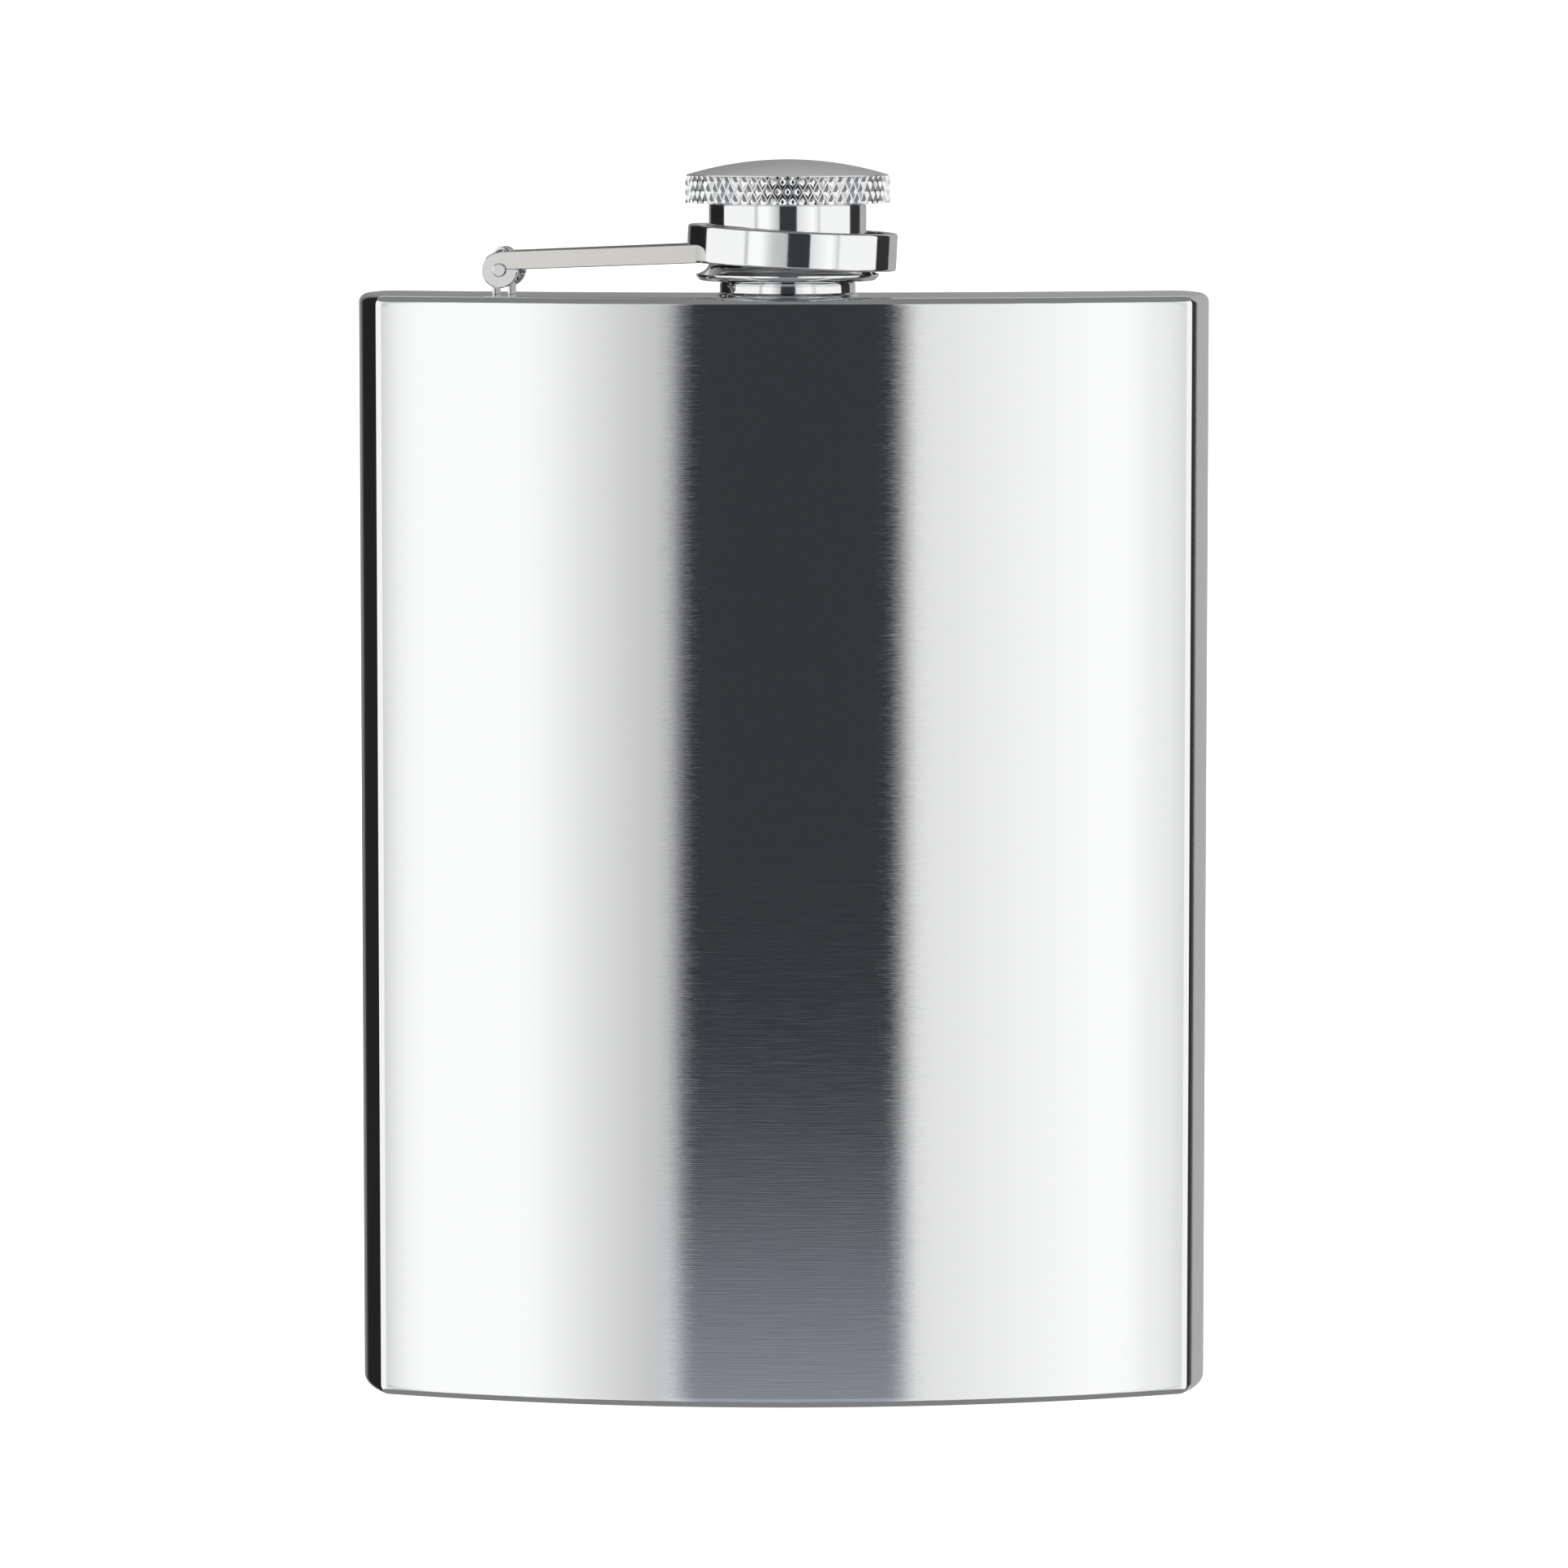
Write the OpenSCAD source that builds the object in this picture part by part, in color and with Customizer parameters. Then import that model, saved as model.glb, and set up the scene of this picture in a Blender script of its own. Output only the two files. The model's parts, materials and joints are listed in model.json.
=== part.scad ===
// Hip flask: a kidney-shaped steel body with a screw cap held captive on a hinged strap.
// Stands upright on its base. +X is to the viewer's right, the convex front faces -Y, +Z is up.
// The origin is under the middle of the flask, at the height of the base.

/* [Body] */
// Width across the bulged sides
body_w = 95; // [80:1:120]
// Height from the base to the flat of the top plate
body_h = 123; // [90:1:180]
// Thickness at the middle, front to back
body_t = 19; // [16:0.5:24]
// Radius of the convex front
front_r = 130; // [120:5:220]
// Radius of the hollow back
back_r = 135; // [125:5:240]
// Radius of the bulged sides
side_r = 20; // [15:1:28]
// Radius of the two front corners
front_corner_r = 1.5; // [1.5:0.1:3]
// Radius of the two back corners
back_corner_r = 3; // [1.4:0.1:4]
// Wall of the shell
shell_wall = 0.6; // [0.4:0.1:1]

/* [Plates] */
// Thickness of the top and bottom plates
plate_t = 1.2; // [0.9:0.1:2]
// Rounding along the outer rim of each plate
rim_r = 1; // [0.4:0.1:1.2]
// Depth of the lip that locates each plate in the shell
lip_h = 3; // [1.5:0.5:6]
// Thickness of that lip
lip_wall = 0.8; // [0.5:0.1:1.5]

/* [Neck] */
// Distance of the neck to the right of the middle
neck_x = 0.4; // [-3:0.1:3]
// Radius of the mouth
bore_r = 5.9; // [4.5:0.1:7.5]
// Wall of the neck under its threads
neck_wall = 0.8; // [0.6:0.05:1.2]
// Distance that the plain foot of the neck stands out
foot_out = 0.8; // [0.6:0.1:1]
// Height of the neck above the top plate
neck_h = 8; // [6.6:0.1:11]

/* [Thread] */
// Rise of the thread in one turn
pitch = 1.5; // [1.2:0.1:1.8]
// Turns that the cap makes before it lets go
turns = 1; // [0.75:0.05:1.2]
// Radial height of the thread
thread_h = 0.6; // [0.4:0.05:0.6]
// Axial width of the thread at its root
thread_w = 0.75; // [0.5:0.05:0.75]
// Clear space between the two threads, measured radially
thread_gap = 0.25; // [0.2:0.05:0.3]

/* [Cap] */
// Distance that the knurled head stands out past the sleeve
grip_out = 2.6; // [2:0.1:4]
// Height of the head's grip band
grip_h = 2.9; // [2.4:0.1:4]
// Radius of the dome over the head
dome_r = 38; // [32:1:80]
// Wall of the sleeve, outside its threads
sleeve_wall = 1.15; // [0.9:0.05:1.6]
// Thickness of the sleeve's roof over the gasket
roof_t = 0.9; // [0.6:0.05:1.4]
// Distance that the flange stands out past the sleeve, to hold the strap's ring
flange_out = 1.4; // [1.2:0.05:1.7]
// Gap between the flange and the top plate when the cap is tight
flange_lift = 1.65; // [1.4:0.05:2]
// Thickness of the gasket
gasket_t = 1.2; // [0.8:0.1:1.3]

/* [Strap] */
// Thickness of the strap's metal
strap_t = 1.1; // [0.8:0.1:1.2]
// Gap between the sleeve and the ring's round ends
ring_play = 1.1; // [0.9:0.05:1.15]
// Straight length between the ring's round ends
ring_straight = 1.4; // [0.6:0.1:2]
// Height of the ring's band
band_h = 4.15; // [3:0.05:4.6]
// Distance of the ring's middle beyond the cap's axis
ring_ahead = 0.5; // [0.2:0.1:0.8]
// Dip of the ring away from the hinge, in degrees
ring_dip = 2.8; // [1.5:0.1:3]
// Height of the strap's two legs
leg_h = 2.05; // [1.6:0.05:2.6]
// Rise of the legs towards the ring, in degrees
leg_rise = 2.3; // [1.5:0.1:3]
// Distance from the middle of the ring to each leg where they join
leg_spread = 5.2; // [4:0.1:6.5]
// Radius of the eyes on the pin
eye_r = 2; // [1.6:0.05:2.3]

/* [Hinge] */
// Distance of the hinge pin from the left side of the body
hinge_inset = 16.4; // [14:0.1:18]
// Gap between the eyes and the top plate
eye_lift = 0.75; // [0.4:0.05:1.2]
// Radius of the pin
pin_r = 0.6; // [0.45:0.05:0.8]
// Distance that the pin's heads stand out
pin_head_out = 0.15; // [0.1:0.05:0.6]
// Thickness of the pin's heads
pin_head_t = 0.35; // [0.2:0.05:0.8]
// Clear space round the pin
pin_gap = 0.06; // [0.03:0.01:0.1]
// Width of the staple that carries the pin
lug_w = 3.4; // [2.4:0.1:4.5]
// Thickness of the staple's metal
lug_t = 0.42; // [0.3:0.02:0.6]
// Thickness of the two spacer washers
washer_t = 0.5; // [0.3:0.1:0.9]
// Distance that the two spacer washers stay inside the eyes' edge
washer_step = 0.15; // [0:0.05:0.5]
// Gap beside each washer and under each pin head
side_gap = 0.08; // [0.04:0.01:0.15]

/* [Hidden] */
$fn = 64;

// Clearances between pieces that seat in one another
plate_fit = 0.05;
neck_fit = 0.05;
head_fit = 0.02;
gasket_fit = 0.05;

// Radii of the neck and the cap, from the mouth outwards
core_r = bore_r + neck_wall;
foot_r = core_r + foot_out;
cap_core_r = core_r + thread_gap + thread_h;
sleeve_r = cap_core_r + sleeve_wall;
flange_r = sleeve_r + flange_out;
head_r = sleeve_r + grip_out;
ring_r = sleeve_r + ring_play + strap_t;

// Outline of the body. Distances run back from the front of the body, then move by y_shift.
function sag(r, x) = r - sqrt(r * r - x * x);
function mid_y(x) = (sag(front_r, x) + body_t + sag(back_r, x)) / 2;
function heading(v) = atan2(v.y, v.x);
// Where two circles cross, on the side that a positive quarter turn from c1-c2 gives
function crossing(c1, r1, c2, r2) =
  let (d = norm(c2 - c1), a = (r1 * r1 - r2 * r2 + d * d) / (2 * d), h = sqrt(r1 * r1 - a * a))
  c1 + a * (c2 - c1) / d + h * [-(c2 - c1).y, (c2 - c1).x] / d;
// Points along an arc, without its last point
function arc(c, r, from, to, n) =
  [for (i = [0 : n - 1]) c + r * [cos(from + (to - from) * i / n), sin(from + (to - from) * i / n)]];

end_x = body_w / 2 - front_corner_r;
front_c = [0, front_r];
back_c = [0, body_t + back_r];
side_c = [body_w / 2 - side_r, mid_y(end_x)];
corner_f = crossing(front_c, front_r - front_corner_r, side_c, side_r - front_corner_r);
corner_b = crossing(back_c, back_r + back_corner_r, side_c, side_r - back_corner_r);

// Steps along each stretch of the outline
face_steps = 14;
corner_steps = 6;
side_steps = 8;

// Right half of the outline, from the middle of the front to the middle of the back
function half_outline(inset) = concat(
  arc(front_c, front_r - inset, -90, heading(corner_f - front_c), face_steps),
  arc(corner_f, front_corner_r - inset, heading(corner_f - front_c), heading(corner_f - side_c), corner_steps),
  arc(side_c, side_r - inset, heading(corner_f - side_c), heading(corner_b - side_c), side_steps),
  arc(corner_b, back_corner_r - inset, heading(corner_b - side_c), heading(back_c - corner_b), corner_steps),
  arc(back_c, back_r + inset, heading(corner_b - back_c), -90, face_steps),
  [[0, body_t - inset]]
);
function outline(inset) = let (half = half_outline(inset), last = len(half) - 1) [
  for (p = half) p + [0, y_shift],
  for (i = [last - 1 : -1 : 1]) [-half[i].x, half[i].y + y_shift]
];

neck_y = mid_y(neck_x);
front_most = min(0, neck_y - head_r);
back_most = corner_b.y + back_corner_r;
y_shift = -(front_most + back_most) / 2;

// Rim rounding, limited by the plate
rim = min(rim_r, plate_t - 0.2);
rim_steps = 5;

// Heights above the top plate
foot_top = flange_lift - 0.15;
gasket_z = neck_h + gasket_fit;
cap_roof = gasket_z + gasket_t + gasket_fit;
sleeve_top = cap_roof + roof_t;
head_cavity = 1.4;
edge_break = 0.25;
band_top = sleeve_top + grip_h;
dome_edge = head_r - edge_break;
dome_top = band_top + edge_break + sag(dome_r, dome_edge);

// Threads: the neck's outer one and the cap's inner one wind in the same groove
lift = pitch * turns;
thread_steps = 20;
crest_w = 0.45;
root_sink = 0.25;
thread_lead = 0.8;
neck_thread_top = neck_h - thread_lead;
neck_thread_low = foot_top + 1.3;
cap_thread_low = neck_thread_top - lift + 0.1;
cap_thread_top = neck_h - 0.3;

// Arm that runs from the hinge pin to the cap's axis
hinge_x = hinge_inset - body_w / 2;
hinge_y = mid_y(hinge_x);
arm = [neck_x - hinge_x, neck_y - hinge_y];
arm_len = norm(arm);
arm_turn = heading(arm);

// Hinge: the pin rises in the staple's slot by as much as the cap lifts
slot_play = 0.03;
pin_z = eye_r + eye_lift;
pin_head_r = pin_r + pin_head_out;
washer_r = eye_r - washer_step;
lug_h = pin_z + pin_r + lift + slot_play + lug_t;

// Hinge stack, outwards from its middle
washer_y = lug_w / 2 + side_gap;
eye_y = washer_y + washer_t + side_gap;
head_y = eye_y + strap_t + side_gap;
slot_r = pin_r + pin_gap;
lug_r = slot_r + lug_t;

// Strap, measured from the pin
leg_mid = eye_r - leg_h / 2 + 0.05;
ring_u = arm_len + ring_ahead;
ring_mid_r = ring_r - strap_t / 2;
join_u = ring_u - ring_straight / 2 - sqrt(ring_mid_r * ring_mid_r - leg_spread * leg_spread);
leg_start = eye_y + strap_t / 2;
leg_splay = atan((leg_spread - leg_start) / join_u);
leg_len = norm([join_u, leg_spread - leg_start]);
join_z = leg_mid + join_u * tan(leg_rise) - leg_h / 2;
ring_mid_z = join_z - (ring_u - join_u) * tan(ring_dip) + band_h / 2;

// A slab with the body's outline whose rim rounds in towards its top
module rounded_plate() {
  n = len(outline(0));
  levels = [
    [0, 0],
    for (i = [0 : rim_steps]) let (a = 90 * i / rim_steps) [plate_t - rim + rim * sin(a), rim * (1 - cos(a))]
  ];
  rings = [for (level = levels) for (p = outline(level[1])) [p.x, p.y, level[0]]];
  last = (len(levels) - 1) * n;
  sides = [
    for (k = [0 : len(levels) - 2]) for (i = [0 : n - 1])
      let (j = (i + 1) % n, a = k * n) [a + i, a + n + i, a + n + j, a + j]
  ];
  polyhedron(
    points = rings,
    faces = concat([[for (i = [0 : n - 1]) i]], sides, [[for (i = [n - 1 : -1 : 0]) last + i]]),
    convexity = 4
  );
}

// Lip that hangs under a plate and fits in the shell
module locating_lip() {
  translate([0, 0, -lip_h])
    linear_extrude(lip_h)
      difference() {
        polygon(outline(shell_wall + plate_fit));
        polygon(outline(shell_wall + plate_fit + lip_wall));
      }
}

// Helical ridge from z0 to z1 between two radii, wide at base_r and narrow at tip_r
module helix(base_r, tip_r, z0, z1, start) {
  steps = ceil((z1 - z0) / pitch * thread_steps);
  profile = [[base_r, -thread_w / 2], [tip_r, -crest_w / 2], [tip_r, crest_w / 2], [base_r, thread_w / 2]];
  flip = base_r < tip_r;
  points = [
    for (i = [0 : steps]) let (turn = start + 360 * i / thread_steps, z = z0 + pitch * i / thread_steps)
      for (p = profile) [p[0] * cos(turn), p[0] * sin(turn), z + p[1]]
  ];
  walls = [
    for (i = [0 : steps - 1]) for (k = [0 : 3])
      let (a = 4 * i + k, b = 4 * i + (k + 1) % 4) each [[a, a + 4, b], [b, a + 4, b + 4]]
  ];
  ends = [[0, 1, 2, 3], [4 * steps + 3, 4 * steps + 2, 4 * steps + 1, 4 * steps]];
  faces = concat(walls, ends);
  polyhedron(
    points = points,
    faces = flip ? [for (f = faces) [for (i = [len(f) - 1 : -1 : 0]) f[i]]] : faces,
    convexity = 8
  );
}

// Moves a shape from the neck's frame, with z = 0 on the top plate
module at_neck() {
  translate([neck_x, neck_y + y_shift, body_h]) children();
}

// Moves a shape from the hinge's frame: x along the arm, z = 0 at the pin
module at_hinge() {
  translate([hinge_x, hinge_y + y_shift, body_h + pin_z]) rotate([0, 0, arm_turn]) children();
}

module body_shell() {
  color("silver")
    translate([0, 0, plate_t])
      linear_extrude(body_h - 2 * plate_t)
        difference() {
          polygon(outline(0));
          polygon(outline(shell_wall));
        }
}

module bottom_plate() {
  color("gainsboro")
    translate([0, 0, plate_t])
      mirror([0, 0, 1]) {
        rounded_plate();
        locating_lip();
      }
}

module top_plate() {
  color("gainsboro")
    difference() {
      translate([0, 0, body_h - plate_t]) {
        rounded_plate();
        locating_lip();
      }
      at_neck() translate([0, 0, -2 * plate_t]) cylinder(h = 3 * plate_t, r = core_r + neck_fit);
    }
}

module neck() {
  weld = 0.35;
  mouth_edge = 0.3;
  color("lightgray")
    at_neck() {
      rotate_extrude()
        polygon([
          [bore_r, -plate_t], [core_r, -plate_t], [core_r, 0], [foot_r + weld, 0], [foot_r, weld],
          [foot_r, foot_top - mouth_edge], [foot_r - mouth_edge, foot_top], [core_r, foot_top],
          [core_r, neck_h - mouth_edge], [core_r - mouth_edge, neck_h], [bore_r, neck_h]
        ]);
      helix(core_r - root_sink, core_r + thread_h, neck_thread_low, neck_thread_top, 0);
    }
}

module hinge_lug() {
  color("silver")
    at_hinge()
      rotate([90, 0, 0])
        linear_extrude(lug_w, center = true)
          difference() {
            staple(lug_r);
            staple(slot_r);
          }
}

// Upright with a round top, of the staple's outside or of its slot
module staple(r) {
  top = lug_h - lug_r - pin_z;
  translate([-r, -pin_z]) square([2 * r, top + pin_z]);
  translate([0, top]) circle(r);
}

// Disc on the pin's line, from y0 towards the back
module pin_disc(r, y0, length) {
  translate([0, y0 + length, 0]) rotate([90, 0, 0]) cylinder(h = length, r = r);
}

module hinge_pin() {
  color("dimgray")
    at_hinge() {
      pin_disc(pin_r, -head_y, 2 * head_y);
      pin_disc(pin_head_r, -head_y - pin_head_t, pin_head_t);
      pin_disc(pin_head_r, head_y, pin_head_t);
    }
}

module washer(y0) {
  color("darkgray")
    at_hinge()
      difference() {
        pin_disc(washer_r, y0, washer_t);
        pin_disc(slot_r, y0 - 1, washer_t + 2);
      }
}

module front_washer() {
  washer(-washer_y - washer_t);
}

module rear_washer() {
  washer(washer_y);
}

// Outline of the ring at a given radius of its round ends
module ring_outline(r) {
  for (side = [-1, 1]) translate([side * ring_straight / 2, 0]) circle(r);
  square([ring_straight, 2 * r], center = true);
}

// Moves a shape to the ring's middle, dipped away from the hinge
module at_ring() {
  translate([ring_u, 0, ring_mid_z]) rotate([0, ring_dip, 0]) children();
}

module leg(side) {
  translate([0, side * leg_start, leg_mid])
    rotate([0, 0, side * leg_splay])
      rotate([0, -leg_rise, 0])
        translate([0, -strap_t / 2, -leg_h / 2])
          cube([leg_len, strap_t, leg_h]);
}

module retaining_strap() {
  color("lightsteelblue")
    at_hinge()
      difference() {
        union() {
          at_ring() linear_extrude(band_h, center = true) ring_outline(ring_r);
          for (side = [-1, 1]) leg(side);
          pin_disc(eye_r, -eye_y - strap_t, strap_t);
          pin_disc(eye_r, eye_y, strap_t);
        }
        at_ring() linear_extrude(2 * band_h, center = true) ring_outline(ring_r - strap_t);
        pin_disc(slot_r, -head_y, 2 * head_y);
      }
}

module cap_head() {
  color("silver")
    at_neck()
      difference() {
        intersection() {
          rotate_extrude()
            polygon([
              [0, sleeve_top], [head_r - edge_break, sleeve_top], [head_r, sleeve_top + edge_break],
              [head_r, band_top], [dome_edge, band_top + edge_break], [dome_edge, dome_top + 1], [0, dome_top + 1]
            ]);
          translate([0, 0, dome_top - dome_r]) sphere(dome_r);
        }
        translate([0, 0, sleeve_top - 1]) cylinder(h = head_cavity + 1, r = spigot_r + head_fit);
      }
}

// The sleeve's top plugs into the head
spigot_step = 0.52;
spigot_h = 1;
spigot_r = sleeve_r - spigot_step;

// Curve from the sleeve down to the flange's edge, as heights above the flange's face
flare_top = 1.9;
flare_bend = 1.05;
flare_low = 0.7;
function flare(t) =
  (1 - t) * (1 - t) * [sleeve_r, flange_lift + flare_top]
  + 2 * t * (1 - t) * [sleeve_r + 0.1, flange_lift + flare_bend]
  + t * t * [flange_r, flange_lift + flare_low];

module cap_sleeve() {
  flange_slope = [0.5, 0.45];
  flare_steps = 6;
  color("gainsboro")
    at_neck() {
      rotate_extrude()
        polygon(concat(
          [
            [0, cap_roof], [cap_core_r, cap_roof], [cap_core_r, flange_lift],
            [flange_r - flange_slope.x, flange_lift], [flange_r, flange_lift + flange_slope.y]
          ],
          [for (i = [flare_steps : -1 : 0]) flare(i / flare_steps)],
          [
            [sleeve_r, sleeve_top], [spigot_r, sleeve_top], [spigot_r, sleeve_top + spigot_h],
            [0, sleeve_top + spigot_h]
          ]
        ));
      helix(cap_core_r + root_sink, core_r + thread_gap, cap_thread_low, cap_thread_top, cap_thread_start);
    }
}

// Turn at which the cap's ridge lies midway between two turns of the neck's
cap_thread_start = 360 * (cap_thread_low - neck_thread_low) / pitch + 180;

module cap_gasket() {
  gasket_play = 0.35;
  gasket_r = cap_core_r - gasket_play;
  color("ivory") at_neck() translate([0, 0, gasket_z]) cylinder(h = gasket_t, r = gasket_r);
}

body_shell();
bottom_plate();
top_plate();
neck();
hinge_lug();
hinge_pin();
front_washer();
rear_washer();
retaining_strap();
cap_head();
cap_sleeve();
cap_gasket();
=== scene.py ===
import json
import math

import bpy
from bpy.props import FloatProperty, FloatVectorProperty, IntProperty, PointerProperty
from mathutils import Matrix, Vector


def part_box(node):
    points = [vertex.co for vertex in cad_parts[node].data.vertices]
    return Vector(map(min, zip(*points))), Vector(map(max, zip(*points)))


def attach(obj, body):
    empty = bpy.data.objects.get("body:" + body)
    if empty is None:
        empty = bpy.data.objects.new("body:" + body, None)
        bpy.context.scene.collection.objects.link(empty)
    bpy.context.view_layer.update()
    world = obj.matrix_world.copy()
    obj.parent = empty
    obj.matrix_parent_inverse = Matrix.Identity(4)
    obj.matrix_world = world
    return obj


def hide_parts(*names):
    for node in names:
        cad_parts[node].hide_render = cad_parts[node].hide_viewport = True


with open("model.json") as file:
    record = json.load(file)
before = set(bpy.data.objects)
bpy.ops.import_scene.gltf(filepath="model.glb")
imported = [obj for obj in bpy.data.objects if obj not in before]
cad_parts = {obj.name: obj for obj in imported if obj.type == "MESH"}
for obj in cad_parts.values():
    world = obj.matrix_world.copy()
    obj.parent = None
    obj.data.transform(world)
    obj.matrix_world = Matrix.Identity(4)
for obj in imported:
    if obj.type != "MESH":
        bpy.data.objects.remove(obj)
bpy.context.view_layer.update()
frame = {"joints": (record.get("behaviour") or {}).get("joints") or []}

bl_info = {
    "name": "Hip flask",
    "version": (1, 0, 0),
    "blender": (4, 5, 0),
    "location": "View3D > Sidebar > Hip flask",
    "description": "Builds a steel hip flask with a captive screw cap, and a plain studio",
    "category": "Add Mesh",
}

MM = 0.001
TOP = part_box("top_plate")[1].z
BODY_LOW, BODY_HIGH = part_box("body_shell")
CAP_LOW, CAP_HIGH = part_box("cap_head")
CAP_AXIS = (CAP_LOW + CAP_HIGH) / 2
JOINTS = {joint["name"]: joint for joint in frame["joints"]}
PIN = Vector(JOINTS["strap_swing"]["pos_m"])
ARM = Vector((CAP_AXIS.x - PIN.x, CAP_AXIS.y - PIN.y))
ARM_TURN = math.atan2(ARM.y, ARM.x)


# Sizes and colours that a user would change

class FlaskSizes(bpy.types.PropertyGroup):
    front_radius: FloatProperty(name="Front radius", description="Radius of the convex front",
                                default=130 * MM, unit="LENGTH")
    back_radius: FloatProperty(name="Back radius", description="Radius of the hollow back",
                               default=135 * MM, unit="LENGTH")
    side_radius: FloatProperty(name="Side radius", description="Radius of the bulged sides",
                               default=20 * MM, unit="LENGTH")
    front_corner: FloatProperty(name="Front corner", description="Radius of the front corners",
                                default=1.5 * MM, unit="LENGTH")
    back_corner: FloatProperty(name="Back corner", description="Radius of the back corners",
                               default=3 * MM, unit="LENGTH")
    middle: FloatProperty(name="Thickness", description="Thickness of the body at its middle",
                          default=19 * MM, unit="LENGTH")
    wall: FloatProperty(name="Shell wall", description="Thickness of the shell's sheet",
                        default=0.6 * MM, unit="LENGTH")
    plate: FloatProperty(name="Plate", description="Thickness of the top and bottom plates",
                         default=1.2 * MM, unit="LENGTH")
    rim: FloatProperty(name="Rim rounding", description="Rounding along the rim of each plate",
                       default=1 * MM, unit="LENGTH")
    lip: FloatProperty(name="Lip", description="Depth of the lip that locates each plate",
                       default=3 * MM, unit="LENGTH")


class CapSizes(bpy.types.PropertyGroup):
    dome_radius: FloatProperty(name="Dome radius", description="Radius of the dome over the cap",
                               default=38 * MM, unit="LENGTH")
    knurl_count: IntProperty(name="Knurl teeth", description="Teeth in one row of the knurling",
                             default=62, min=24, max=96)
    knurl_depth: FloatProperty(name="Knurl depth", description="Height of the knurling's teeth",
                               default=0.28 * MM, unit="LENGTH")
    thread_pitch: FloatProperty(name="Thread pitch", description="Rise of the thread in one turn",
                                default=1.5 * MM, unit="LENGTH")


class SteelLooks(bpy.types.PropertyGroup):
    steel: FloatVectorProperty(name="Steel", description="Colour of the polished steel", subtype="COLOR",
                               size=3, min=0, max=1, default=(0.78, 0.785, 0.79))
    satin: FloatVectorProperty(name="Satin steel", description="Colour of the cap's satin dome",
                               subtype="COLOR", size=3, min=0, max=1, default=(0.8, 0.8, 0.79))
    legs: FloatVectorProperty(name="Brushed legs", description="Colour of the strap's brushed legs",
                              subtype="COLOR", size=3, min=0, max=1, default=(0.57, 0.56, 0.54))
    silicone: FloatVectorProperty(name="Silicone", description="Colour of the gasket", subtype="COLOR",
                                  size=3, min=0, max=1, default=(0.82, 0.81, 0.77))
    floor: FloatVectorProperty(name="Floor", description="Colour of the studio floor", subtype="COLOR",
                               size=3, min=0, max=1, default=(0.9, 0.9, 0.9))


# Selection and mesh helpers

def start_fresh():
    """Leaves edit mode and deselects everything."""
    if bpy.context.object and bpy.context.object.mode != "OBJECT":
        bpy.ops.object.mode_set(mode="OBJECT")
    bpy.ops.object.select_all(action="DESELECT")


def edit(obj, mode="VERT"):
    """Opens one object in edit mode with nothing selected."""
    start_fresh()
    bpy.context.view_layer.objects.active = obj
    obj.select_set(True)
    bpy.ops.object.mode_set(mode="EDIT")
    bpy.ops.mesh.select_mode(type=mode)
    bpy.ops.mesh.select_all(action="DESELECT")


def pick(obj, kind, test):
    """Selects the vertices, edges or faces that pass a test, from edit mode."""
    bpy.ops.object.mode_set(mode="OBJECT")
    mesh = obj.data
    for item in getattr(mesh, kind):
        item.select = test(mesh, item)
    bpy.ops.object.mode_set(mode="EDIT")


def edge_heights(mesh, edge):
    return [mesh.vertices[i].co.z for i in edge.vertices]


def level_edge(z):
    """A test for the edges that lie at a height."""
    return lambda mesh, edge: all(abs(h - z) < 1e-6 for h in edge_heights(mesh, edge))


def add_ring(points, fill="NOTHING"):
    """Adds a circle primitive and lays its vertices on a closed line of points."""
    start_fresh()
    bpy.ops.mesh.primitive_circle_add(vertices=len(points), radius=0.01, fill_type=fill)
    obj = bpy.context.object
    for vertex, point in zip(obj.data.vertices, points):
        vertex.co = point
    return obj


def turned(profile, steps=128):
    """Turns a closed profile of (radius, height) in millimetres round the Z axis."""
    obj = add_ring([(r * MM, 0, z * MM) for r, z in profile])
    edit(obj)
    bpy.ops.mesh.select_all(action="SELECT")
    bpy.ops.mesh.spin(steps=steps, angle=2 * math.pi, center=(0, 0, 0), axis=(0, 0, 1))
    tidy_up()
    return obj


def tidy_up():
    """Merges doubles and points the faces outwards, from edit mode, and leaves it."""
    bpy.ops.mesh.select_all(action="SELECT")
    bpy.ops.mesh.remove_doubles(threshold=2e-6)
    bpy.ops.mesh.dissolve_degenerate(threshold=1e-7)
    bpy.ops.mesh.normals_make_consistent(inside=False)
    bpy.ops.object.mode_set(mode="OBJECT")


def modify(obj, kind, **settings):
    """Adds a modifier and applies it."""
    start_fresh()
    bpy.context.view_layer.objects.active = obj
    obj.select_set(True)
    bpy.ops.object.modifier_add(type=kind)
    modifier = obj.modifiers[-1]
    for key, value in settings.items():
        setattr(modifier, key, value)
    bpy.ops.object.modifier_apply(modifier=modifier.name)


def soften(obj, width, segments=3, angle=40):
    """Rounds the sharp edges of a piece; width is in millimetres."""
    modify(obj, "BEVEL", width=width * MM, segments=segments, limit_method="ANGLE",
           angle_limit=math.radians(angle), use_clamp_overlap=True)


def place(obj, matrix):
    """Moves a piece's mesh, so that its object stays at the origin."""
    obj.matrix_world = matrix
    start_fresh()
    obj.select_set(True)
    bpy.context.view_layer.objects.active = obj
    bpy.ops.object.transform_apply(location=True, rotation=True, scale=True)


def join(first, *others):
    start_fresh()
    for obj in (first, *others):
        obj.select_set(True)
    bpy.context.view_layer.objects.active = first
    bpy.ops.object.join()
    return first


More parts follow.
